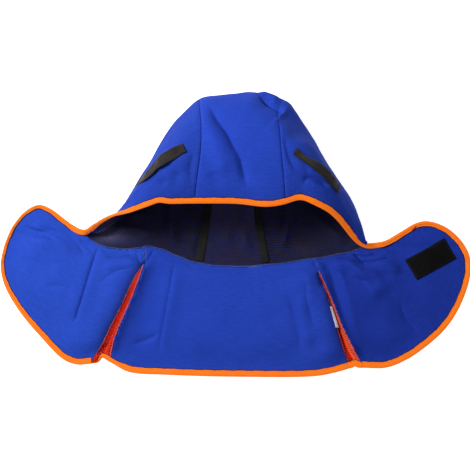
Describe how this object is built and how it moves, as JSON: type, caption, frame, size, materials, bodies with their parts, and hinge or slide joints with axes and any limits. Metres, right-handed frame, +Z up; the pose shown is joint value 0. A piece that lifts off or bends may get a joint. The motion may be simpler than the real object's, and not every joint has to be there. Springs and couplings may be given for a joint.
{
  "type": "welding head cover",
  "caption": "Soft cloth hood with a neck cape, net lining, bound edges and webbing loops, worn under a welding helmet to guard the head and neck.",
  "frame": {"origin": "middle of the footprint box, on the surface that the cover lies on", "axes": "+X along the spread wings, with the hook patch's wing at +X; +Y towards the crown; +Z up, away from the surface"},
  "size_m": [0.5647, 0.3389, 0.0968],
  "materials": {
    "cloth_blue": "matte twill",
    "net_navy": "matte net",
    "tape_black": "matte tape",
    "net_red": "matte net",
    "binding_orange": "matte twill tape",
    "webbing_black": "woven webbing",
    "hook_black": "hook tape",
    "loop_black": "loop tape",
    "label_white": "woven label"
  },
  "bodies": {
    "root": {"crown_centre_panel": "cloth_blue", "side_panel_left": "cloth_blue", "side_panel_right": "cloth_blue", "back_drape": "cloth_blue", "wing_left": "cloth_blue", "wing_right": "cloth_blue", "lining_centre": "net_navy", "lining_left": "net_navy", "lining_right": "net_navy", "lining_tape_left": "tape_black", "lining_tape_right": "tape_black", "gusset_left": "net_red", "gusset_right": "net_red", "binding_lip": "binding_orange", "binding_wing_left": "binding_orange", "binding_wing_right": "binding_orange", "binding_hem": "binding_orange", "strap_left": "webbing_black", "strap_right": "webbing_black", "hook_patch": "hook_black", "loop_patch": "loop_black", "care_label": "label_white"}
  },
  "joints": []
}
